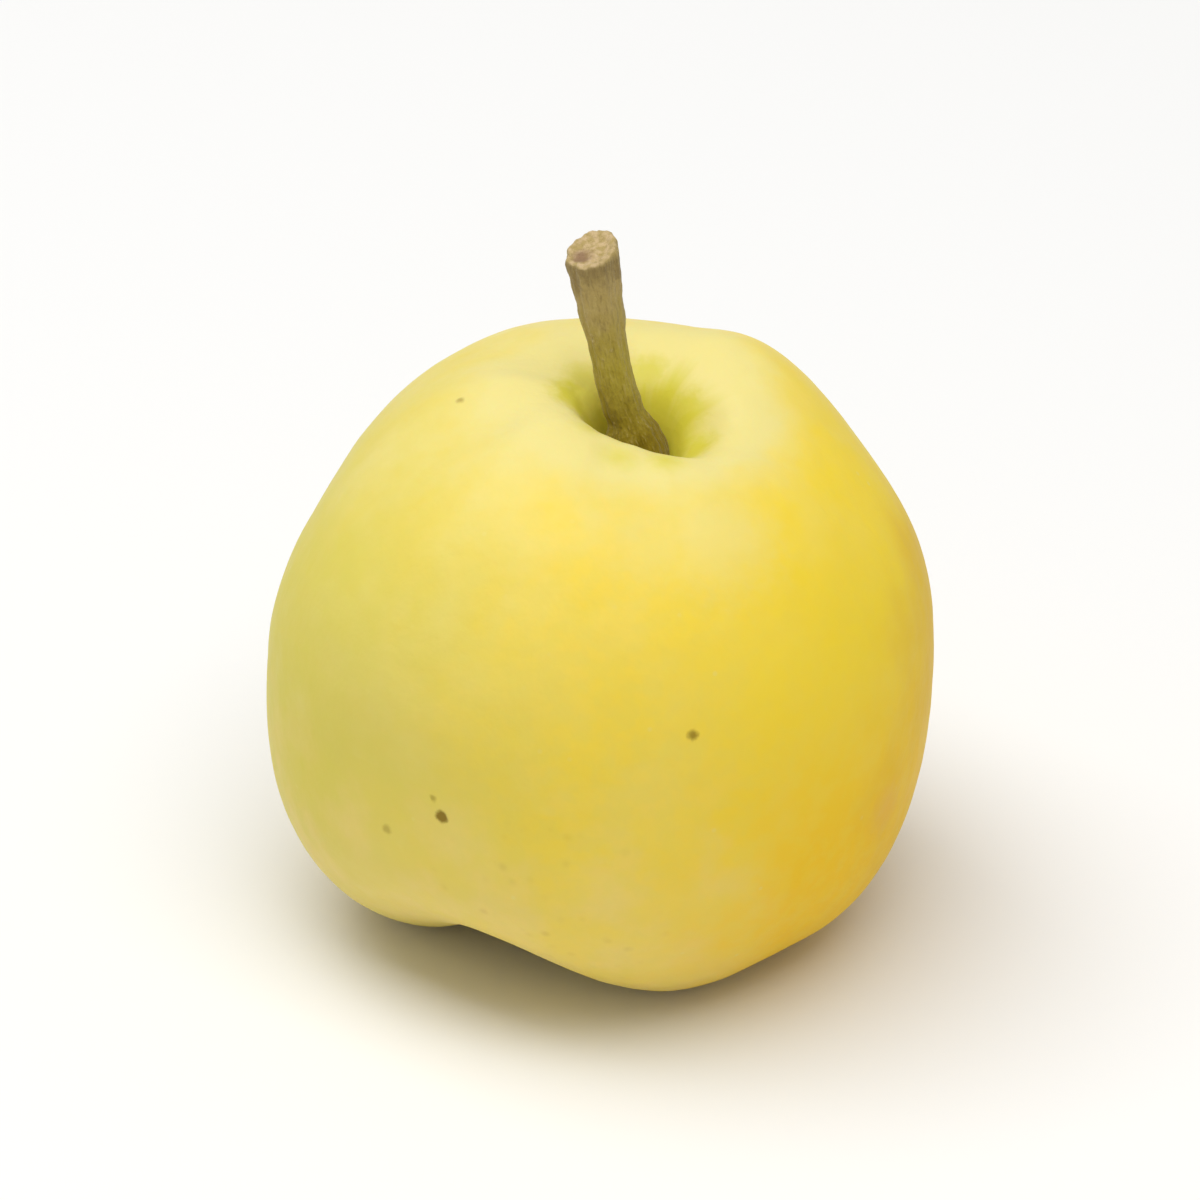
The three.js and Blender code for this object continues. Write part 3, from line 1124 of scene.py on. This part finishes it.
@dataclass(frozen=True)
class DriedFinish:
    """Dried flower tissue: one colour along the grain, another in patches, and darker fibres."""

    effects: Effects
    name: str
    colour: Colour
    patch: Colour
    dark: Colour

    def build(self) -> Material:
        """Makes the material.

        Returns:
            The material.
        """
        graph = Surface(self.name, {"Specular IOR Level": 0.25})
        straight = graph.attribute("straight", "Vector")
        clouds = {"Width": 1.2, "Share": 0.5, "Softness": 0.25}
        patches = graph.group(self.effects.patches, straight, **clouds)
        streaks = {"Pitch": 0.12, "Stretch": 7.0, "Contrast": 2.0}
        fibres = graph.group(self.effects.fibres, straight, **streaks)
        colour = graph.mix(patches, self.colour, self.patch)
        sockets = {
            "Base Color": graph.mix(graph.ease(fibres, (0.5, 0.05)), colour, self.dark),
            "Roughness": graph.plus(graph.times(patches, 0.15), 0.75),
            "Normal": graph.bump(fibres, depth=0.05),
        }
        return graph.finished(sockets)


# ---- The pieces ----


def dress(piece: Piece, material: Material, node: str) -> None:
    """Puts a piece in its node's place: its material, its body and what it stands for.

    Args:
        piece: The finished mesh.
        material: Its material.
        node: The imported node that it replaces.
    """
    piece.data.materials.append(material)
    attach(piece, BODY)
    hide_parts(node)
    LOG.info("%s: %d faces stand for %s", piece.name, len(piece.data.polygons), node)


@dataclass(frozen=True)
class Folds:
    """Folds around an axis: how many there are, how far they wander, and how strong they are."""

    count: int
    sway: float
    strength: float

    def height_at(self, angle: Array, wave: Array) -> Array:
        """Gives their height at each angle, with a wave that pushes them aside."""
        return self.strength * np.sin(self.count * angle + self.sway * wave)


@dataclass
class Fruit:
    """The fruit itself, from a cube whose faces are cut fine and blown up to the form."""

    form: FruitForm
    finish: SkinFinish
    cells: int = 120
    swell_height: float = 0.09
    swell_width: float = 7.0
    dimple_height: float = 0.018
    dimple_width: float = 1.7
    fold_height: float = 0.05
    wave_width: float = 3.0
    puckers: tuple[Folds, ...] = (Folds(9, 2.5, 0.6), Folds(15, -3.0, 0.36))
    pleats: tuple[Folds, ...] = (Folds(10, 3.0, 1.0), Folds(17, -2.0, 0.5))
    height_share: float = 0.04

    def build(self) -> None:
        """Makes the fruit and dresses it."""
        shell = bmesh.new()
        bmesh.ops.create_cube(shell, size=2.0)
        bmesh.ops.subdivide_edges(shell, edges=shell.edges, cuts=self.cells - 1, use_grid_fill=True)
        shell.verts.ensure_lookup_table()
        cube = np.array([vertex.co for vertex in shell.verts])
        faces = [[vertex.index for vertex in face.verts] for face in shell.faces]
        shell.free()
        ball = normalised(np.tan(cube * 0.25 * np.pi))
        azimuth, latitude = np.arctan2(ball[:, 1], ball[:, 0]), np.arcsin(ball[:, 2])
        points = self._with_relief(azimuth, latitude)
        attributes = {
            "stem_hollow": self._inside(self.form.stem_hollows[0], points, latitude > 0),
            "calyx_hollow": self._inside(self.form.calyx_basin, points, latitude < 0),
            "meridian": self._meridian(points, latitude),
        }
        fruit = mesh_object("fruit_skin", points + self.form.shift, faces, attributes)
        dress(fruit, self.finish.build(), "fruit")

    def _meridian(self, points: Array, latitude: Array) -> Array:
        """Gives places that change fast around the fruit's two hollows and slowly along its height.

        Args:
            points: The skin, in millimetres.
            latitude: Each point's angle above the equator, in radians.

        Returns:
            The places, one for each point.
        """
        share = smoothstep(latitude, 0.0, 1.2)
        cavity = self.form.stem_hollows[0]
        around = np.arctan2(points[:, 1] - share * cavity.y, points[:, 0] - share * cavity.x)
        return stacked(np.cos(around), np.sin(around), self.height_share * points[:, 2])

    @staticmethod
    def _inside(hollow: Hollow, points: Array, on_side: Array) -> Array:
        """Gives how far inside a hollow each point is, from 0 to 1."""
        return hollow.depth_at(points[:, 0], points[:, 1]) / hollow.depth * on_side

    def _wall(self, hollow: Hollow, points: Array, on_side: Array) -> Array:
        """Gives how near each point is to half way down a hollow, from 0 to 1."""
        inside = self._inside(hollow, points, on_side)
        return 4.0 * inside * (1.0 - inside)

    def _with_relief(self, azimuth: Array, latitude: Array) -> Array:
        """Gives the standing skin with its swells, dimples and the puckers in the hollows.

        Args:
            azimuth: Angles around the axis, in radians.
            latitude: Angles above the equator, in radians.

        Returns:
            Points in millimetres.
        """
        points = self.form.grown(azimuth, latitude)
        cavity, basin = self.form.stem_hollows[0], self.form.calyx_basin
        around = np.arctan2(points[:, 1] - cavity.y, points[:, 0] - cavity.x)
        wave = grain(points, self.wave_width, octaves=2)
        pucker = sum(folds.height_at(around, wave) for folds in self.puckers)
        pleat = sum(folds.height_at(azimuth, wave) for folds in self.pleats)
        on_wall = self._wall(cavity, points, latitude > 0)
        on_floor = self._wall(basin, points, latitude < 0)
        relief = self.swell_height * grain(points, self.swell_width, octaves=2)
        relief += self.dimple_height * grain(points, self.dimple_width, octaves=2)
        relief += self.fold_height * (pucker * on_wall + pleat * on_floor)
        points += directions(azimuth, latitude) * relief[:, None]
        points[:, 2] = np.maximum(0.0, points[:, 2] + self.form.equator_z)
        return points


@dataclass
class Stem:
    """The woody stem, from its foot in the flesh to the slanted scar where it left the twig.

    Each pair of the scar's profile is a share of the radius and how far the face is raised there.
    """

    form: FruitForm
    finish: BarkFinish
    radius: float = 0.78
    foot_radius: float = 1.3
    sole_radius: float = 0.75
    tip_radius: float = 1.1
    foot_flare: float = 2.2
    tip_flare: float = 4.5
    slant_deg: float = 19.0
    slant_towards_deg: float = 63.0
    depth_in_flesh: float = 0.5
    ridge_depth: float = 0.045
    ridge_count: int = 7
    fibre_count: int = 17
    grain_height: float = 0.07
    rings: int = 150
    sides: int = 72
    route: tuple[Place, ...] = (
        (1.6, -0.25, 0.0),
        (1.55, -0.25, 0.5),
        (1.25, -0.22, 1.5),
        (0.7, -0.15, 3.3),
        (0.12, 0.05, 6.6),
        (-0.3, 0.2, 9.55),
    )
    scar: tuple[Pair, ...] = (
        (0.95, 0.07),
        (0.86, 0.08),
        (0.76, 0.02),
        (0.6, -0.08),
        (0.4, -0.12),
        (0.2, -0.1),
    )

    def build(self) -> None:
        """Makes the stem and dresses it."""
        foot_x, foot_y, _ = self.route[0]
        under_foot = foot_x + self.sole_radius * np.array([-1.0, 0.0, 1.0])
        floor = self.form.height_over(under_foot, np.full(3, foot_y), End.STEM).max()
        points = np.array(self.route) + np.array([0.0, 0.0, floor]) + self.form.shift
        points[0, 2] -= self.depth_in_flesh
        places, tangents, length = Route(points).sample(self.rings)
        along = np.linspace(0.0, length, self.rings)
        bark = self._bark(along, length)
        scar = self._scar(*(rings[-1] for rings in bark))
        radii, offsets = (np.vstack(both) for both in zip(bark, scar))
        at = np.minimum(np.arange(len(radii)), self.rings - 1)
        stem = Rod("stem_bark", places[at], tangents[at], radii, offsets).build(along[at])
        on_scar = np.zeros(len(stem.data.vertices))
        on_scar[self.rings * self.sides : -2] = 1.0
        on_scar[-1] = 1.0
        add_attribute(stem.data, "scar", on_scar)
        dress(stem, self.finish.build(length), "stem")

    def _bark(self, along: Array, length: float) -> tuple[Array, Array]:
        """Shapes the bark: its flares at both ends, its ridges and knobs, and the slant of its end.

        Args:
            along: The length walked at each ring, in millimetres.
            length: The stem's whole length.

        Returns:
            The radius at each point of each ring, and how far it is pushed along the stem.
        """
        knots = (
            (0.0, 0.9 * self.foot_radius),
            (self.depth_in_flesh, self.foot_radius),
            (self.depth_in_flesh + 0.5 * self.foot_flare, 0.86 * self.foot_radius),
            (self.depth_in_flesh + self.foot_flare, self.radius),
            (length - self.tip_flare, 0.97 * self.radius),
            (length - 0.55 * self.tip_flare, 0.84 * self.tip_radius),
            (length - 0.2 * self.tip_flare, 0.95 * self.tip_radius),
            (length - 0.1, self.tip_radius),
            (length, 0.97 * self.tip_radius),
        )
        tall, around = grid(along, circle(self.sides))
        wander = grain(stacked(np.cos(around), np.sin(around), 0.12 * tall), wavelength=0.9)
        ridges = np.cos(self.ridge_count * around + 1.6 * wander + 0.15 * tall)
        ridges += 0.5 * np.cos(self.fibre_count * around + 3.0 * wander)
        knobs = grain(stacked(np.cos(around), np.sin(around), tall), wavelength=0.8)
        radii = eased_profile(knots, along)[:, None] + self.ridge_depth * (ridges + 1.1 * knobs)
        lift = smoothstep(tall, 0.8 * length, length) * math.tan(math.radians(self.slant_deg))
        return radii, lift * radii * np.cos(around - math.radians(self.slant_towards_deg))

    def _scar(self, rim: Array, rim_offset: Array) -> tuple[Array, Array]:
        """Gives the rings of the scar, from its raised rim in to its sunken middle.

        Args:
            rim: The radius around the stem's end.
            rim_offset: How far the end is pushed along the stem, around it.

        Returns:
            The radii of the scar's rings, and how far they are pushed along the stem.
        """
        share, rise = np.array(self.scar).T[..., None]
        radii, angle = share * rim, circle(self.sides)
        torn = grain(stacked(radii * np.cos(angle), radii * np.sin(angle), 0.0), wavelength=0.35)
        return radii, share * rim_offset + rise + self.grain_height * torn


@dataclass
class CalyxDisc:
    """The dark saucer in the middle of the basin, with folds that run in from its rim."""

    form: FruitForm
    finish: DriedFinish
    radius: float = 2.1
    height: float = 0.7
    rim_width: float = 0.6
    rim_overlap: float = 0.05
    hollow: float = 0.35
    seat_gap: float = 0.1
    fold_count: int = 20
    fold_height: float = 0.05
    pit_depth: float = 0.09
    rings: int = 44
    sides: int = 120

    def build(self) -> None:
        """Makes the disc and dresses it."""
        inner = self.radius - self.rim_width
        outer = self.radius + self.rim_overlap
        knots = (
            (0.0, self.hollow),
            (0.5 * inner, self.hollow),
            (inner, 0.12),
            (self.radius - 0.5 * self.rim_width, 0.0),
            (self.radius - 0.15 * self.rim_width, 0.08),
            (self.radius, 0.35),
            (outer, self.height + 0.25),
        )
        far, around = grid(np.linspace(0.02, outer, self.rings), circle(self.sides))
        x, y = far * np.cos(around), far * np.sin(around)
        flat = stacked(x, y, 0.0)
        folds = self.fold_height * np.cos(self.fold_count * around + 2.0 * grain(flat, wavelength=1.5))
        folds = folds * smoothstep(far, 0.6, inner)
        lift = eased_profile(knots, far) + folds + self.pit_depth * grain(flat, wavelength=0.6)
        points = self.form.below_basin(x, y, self.seat_gap + self.height - lift)
        spots = with_ends(points)[:-1] + self.form.shift
        unrolled = stacked(around * 2.0, lift, far).reshape(-1, 3)
        straight = np.vstack([unrolled, unrolled[:1]])
        faces = [
            *turned(grid_faces(self.rings, self.sides, wraps=True)),
            *cap_faces(0, self.sides, self.rings * self.sides),
        ]
        disc = mesh_object("calyx_saucer", spots, faces, {"straight": straight})
        dress(disc, self.finish.build(), "calyx_disc")


@dataclass(frozen=True)
class SepalShape:
    """One sepal: where it grows, how long it is and how far its tip is lifted off the skin."""

    azimuth_deg: float
    length: float
    tip_lift: float


@dataclass
class Sepals:
    """The five dried sepals, broad at the foot, with pointed tips and rolled, ragged edges."""

    form: FruitForm
    finish: DriedFinish
    shapes: tuple[SepalShape, ...] = (
        SepalShape(28, 2.7, 0.2),
        SepalShape(95, 3.0, 0.35),
        SepalShape(160, 2.6, 0.25),
        SepalShape(238, 3.3, 0.9),
        SepalShape(322, 2.1, 0.15),
    )
    base: float = 2.3
    tuck: float = 0.3
    half_width: float = 1.25
    thickness: float = 0.14
    cup: float = 0.25
    seat_gap: float = 0.12
    vein_height: float = 0.05
    crumple_height: float = 0.09
    rows: int = 56
    columns: int = 29

    def build(self) -> None:
        """Makes the sepals and dresses them."""
        material = self.finish.build()
        for number, shape in enumerate(self.shapes, start=1):
            sepal = self._sepal(f"dried_sepal_{number}", shape)
            dress(sepal, material, f"sepal_{number}")

    def _sepal(self, name: str, shape: SepalShape) -> Piece:
        """Makes one sepal as a closed sheet.

        Args:
            name: The object's name.
            shape: Where it grows, and its own sizes.

        Returns:
            The sepal.
        """
        along, across = grid(np.linspace(0.0, 1.0, self.rows), np.linspace(-1.0, 1.0, self.columns))
        flat = stacked(3.0 * along, 1.3 * across, shape.azimuth_deg)
        taper = 0.06 + 0.94 * (1.0 - along) ** 0.8
        ragged = 1.0 + 0.1 * grain(flat, wavelength=0.7) * np.abs(across)
        side = across * self.half_width * taper * ragged
        reach = self.base - self.tuck + along * (shape.length + self.tuck)
        cosine, sine = (turn(math.radians(shape.azimuth_deg)) for turn in (math.cos, math.sin))
        x, y = reach * cosine - side * sine, reach * sine + side * cosine
        vein = self.vein_height * np.exp(-((across / 0.12) ** 2)) + 0.02 * np.cos(13.0 * across)
        crumple = self.crumple_height * grain(flat, wavelength=0.9) * smoothstep(along, 0.1, 0.6)
        rolled = self.cup * across**2 * (1.0 - along) + shape.tip_lift * along**2
        drop = rolled + crumple + vein - 0.12 * (1.0 - smoothstep(along, 0.0, 0.3))
        upper = self.form.below_basin(x, y, self.seat_gap + drop)
        lower = self.form.below_basin(x, y, self.seat_gap + drop + self.thickness)
        points = np.vstack([upper.reshape(-1, 3), lower.reshape(-1, 3)]) + self.form.shift
        straight = np.roll(flat, -1, axis=-1).reshape(-1, 3)
        return mesh_object(name, points, self._faces(), {"straight": np.vstack([straight, straight])})

    def _faces(self) -> list[Face]:
        """Lists the faces of a sheet: those next to the skin, those away from it, and its edge.

        Returns:
            Four vertices for each face.
        """
        count, last = self.rows * self.columns, self.columns - 1
        upper = grid_faces(self.rows, self.columns, wraps=False)
        lower = [tuple(count + i for i in face[::-1]) for face in upper]
        ring = [
            *range(last),
            *(row * self.columns + last for row in range(self.rows - 1)),
            *(count - 1 - column for column in range(last)),
            *(row * self.columns for row in range(self.rows - 1, 0, -1)),
        ]
        edge = [(b, a, a + count, b + count) for a, b in zip(ring, [*ring[1:], ring[0]])]
        return turned([*upper, *lower, *edge])


@dataclass
class Threads:
    """The dried styles in the disc's middle and the stamens around it, some with their anther."""

    form: FruitForm
    finish: DriedFinish
    disc: CalyxDisc
    style_count: int = 5
    style_length: float = 1.5
    style_radius: float = 0.14
    style_ring: float = 0.5
    style_spread: float = 0.4
    stamen_count: int = 12
    stamen_radius: float = 0.11
    stamen_ring: float = 1.8
    stamen_reach: float = 3.6
    stamen_drop: float = 1.3
    anther_radius: float = 0.22
    crease_depth: float = 0.22
    seat_gap: float = 0.1
    rings: int = 40
    sides: int = 14

    def build(self) -> None:
        """Makes the threads and dresses them."""
        material = self.finish.build()
        kinds = {"style": (self.style_count, self._style), "stamen": (self.stamen_count, self._stamen)}
        for kind, (count, shape) in kinds.items():
            for index in range(count):
                thread = self._thread(f"dried_{kind}_{index + 1}", *shape(index))
                dress(thread, material, f"{kind}_{index + 1}")

    def _at(self, radius: float, azimuth: float, drop: float) -> Array:
        """Gives a point in the basin, so far under the skin and its seat gap."""
        x, y = radius * math.cos(azimuth), radius * math.sin(azimuth)
        return self.form.below_basin(x, y, self.seat_gap + drop)

    def _thread(self, name: str, points: Array, knots: Sequence[Pair]) -> Piece:
        """Makes a thread.

        Args:
            name: The object's name.
            points: A few points on it, in millimetres.
            knots: Its radius at shares of its length.

        Returns:
            The thread.
        """
        places, tangents, length = Route(points + self.form.shift).sample(self.rings)
        along = np.linspace(0.0, length, self.rings)
        tall, around = grid(along, circle(self.sides))
        seed = points[0, 0] * 9.0
        crease = grain(stacked(np.cos(around), np.sin(around) + seed, 2.0 * tall), wavelength=1.1)
        radii = eased_profile(knots, along / length)[:, None] * (1.0 + self.crease_depth * crease)
        return Rod(name, places, tangents, radii, np.zeros_like(radii)).build(along)

    def _style(self, index: int) -> tuple[Array, Sequence[Pair]]:
        """Shapes one style, leaning out a little from the middle.

        Args:
            index: Which one, from 0.

        Returns:
            A few points on it, and its radius at shares of its length.
        """
        azimuth = 2.0 * math.pi * index / self.style_count + 0.3
        foot = self._at(self.style_ring, azimuth, self.disc.height - self.disc.hollow)
        outward = np.array([math.cos(azimuth), math.sin(azimuth), 0.0])
        length = self.seat_gap + self.style_length * (1.0 - 0.12 * (index % 2))
        shares = np.array([0.0, 0.35, 0.7, 1.0])[:, None]
        down = np.array([0.0, 0.0, -length])
        points = foot + outward * self.style_spread * shares**2 + down * shares
        knots = ((0.0, 1.3), (0.2, 1.0), (0.8, 0.9), (0.92, 1.4), (1.0, 0.9))
        return points, [(share, thick * self.style_radius) for share, thick in knots]

    def _stamen(self, index: int) -> tuple[Array, Sequence[Pair]]:
        """Shapes one stamen, bent out over the basin's wall.

        Args:
            index: Which one, from 0.

        Returns:
            A few points on it, and its radius at shares of its length.
        """
        azimuth = 2.0 * math.pi * index / self.stamen_count + 0.12 * math.sin(2.4 * index)
        reach = self.stamen_reach + 0.5 * math.sin(3.1 * index)
        swirl = 0.25 * math.cos(1.7 * index)
        knee_drop = self.disc.height + self.seat_gap + 0.5
        route = (
            (self.stamen_ring, azimuth, self.disc.height - 0.1),
            (self.stamen_ring + 0.2, azimuth + 0.2 * swirl, knee_drop),
            (0.5 * (self.stamen_ring + reach), azimuth + 0.6 * swirl, self.stamen_drop),
            (reach, azimuth + swirl, 0.6 * self.stamen_drop),
        )
        end = self.anther_radius if index % 4 == 1 else self.stamen_radius
        knots = (
            (0.0, 1.3 * self.stamen_radius),
            (0.15, self.stamen_radius),
            (0.82, 0.8 * self.stamen_radius),
            (0.93, end),
            (1.0, 0.6 * end),
        )
        return np.stack([self._at(*stop) for stop in route]), knots


# ---- The studio ----


@dataclass
class Studio:
    """A white floor under soft light from all around, a broad lamp above, and the camera.

    Sizes are in metres.
    """

    view_width: float = 0.05
    distance: float = 0.6
    elevation_deg: float = 30.0
    target_height: float = 0.0148
    clip: Pair = (0.01, 20.0)
    floor_size: float = 6.0
    floor_colour: Colour = (0.9, 0.9, 0.895)
    sky_colour: Colour = (1.0, 0.99, 0.97)
    sky_strength: float = 0.41
    lamp_place: Place = (-0.06, -0.07, 0.5)
    lamp_size: Pair = (0.8, 0.34)
    lamp_watts: float = 2.7

    def build(self) -> None:
        """Makes the floor, the light and the camera."""
        self._floor()
        self._sky()
        self._lamp()
        self._camera()
        bpy.context.scene.view_settings.view_transform = "Standard"

    def _floor(self) -> None:
        """Makes the floor at the height that the berry stands on."""
        half = 0.5 * self.floor_size / MM
        corners = np.array([[-half, -half, 0], [half, -half, 0], [half, half, 0], [-half, half, 0]])
        floor = mesh_object("floor", corners, [(0, 1, 2, 3)], {})
        shader = {"Base Color": (*self.floor_colour, 1.0), "Roughness": 0.9}
        floor.data.materials.append(Surface("Floor", shader).material)

    def _sky(self) -> None:
        """Lights the scene evenly from all around."""
        world = bpy.data.worlds.new("Studio")
        world.use_nodes = True
        background = next(n for n in world.node_tree.nodes if n.type == "BACKGROUND")
        background.inputs["Color"].default_value = (*self.sky_colour, 1.0)
        background.inputs["Strength"].default_value = self.sky_strength
        bpy.context.scene.world = world

    def _aimed(self, name: str, data: bpy.types.ID, place: Vector) -> Piece:
        """Puts a lamp or the camera at a place, and aims it at the berry's middle.

        Args:
            name: The object's name.
            data: The lamp or the camera.
            place: Where it goes.

        Returns:
            The object.
        """
        obj = linked(name, data)
        obj.location = place
        aim = Vector((0.0, 0.0, self.target_height)) - place
        obj.rotation_euler = aim.to_track_quat("-Z", "Y").to_euler()
        return obj

    def _lamp(self) -> None:
        """Hangs the lamp over the berry."""
        lamp = bpy.data.lights.new("overhead", "AREA")
        lamp.shape = "RECTANGLE"
        lamp.size, lamp.size_y = self.lamp_size
        lamp.energy = self.lamp_watts
        self._aimed("overhead", lamp, Vector(self.lamp_place))

    def _camera(self) -> None:
        """Looks down at the berry through a long lens."""
        camera = bpy.data.cameras.new("camera")
        camera.lens = camera.sensor_width * self.distance / self.view_width
        camera.clip_start, camera.clip_end = self.clip
        elevation = math.radians(self.elevation_deg)
        away = self.distance * Vector((0.0, -math.cos(elevation), math.sin(elevation)))
        place = Vector((0.0, 0.0, self.target_height)) + away
        bpy.context.scene.camera = self._aimed("camera", camera, place)


def main() -> None:
    """Builds the berry and the studio around it."""
    logging.basicConfig(level=logging.INFO, format="%(name)s: %(message)s")
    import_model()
    Studio().build()
    effects = Effects()
    form = FruitForm()
    disc_finish = DriedFinish(
        effects,
        "Dried disc",
        colour=(0.075, 0.04, 0.022),
        patch=(0.13, 0.075, 0.04),
        dark=(0.02, 0.012, 0.008),
    )
    sepal_finish = DriedFinish(
        effects,
        "Dried sepal",
        colour=(0.42, 0.25, 0.11),
        patch=(0.60, 0.42, 0.21),
        dark=(0.12, 0.06, 0.03),
    )
    thread_finish = DriedFinish(
        effects,
        "Dried thread",
        colour=(0.08, 0.045, 0.028),
        patch=(0.36, 0.25, 0.15),
        dark=(0.02, 0.012, 0.008),
    )
    disc = CalyxDisc(form, disc_finish)
    Fruit(form, SkinFinish(effects, form)).build()
    Stem(form, BarkFinish(effects)).build()
    disc.build()
    Sepals(form, sepal_finish).build()
    Threads(form, thread_finish, disc).build()


if __name__ == "__main__":
    main()
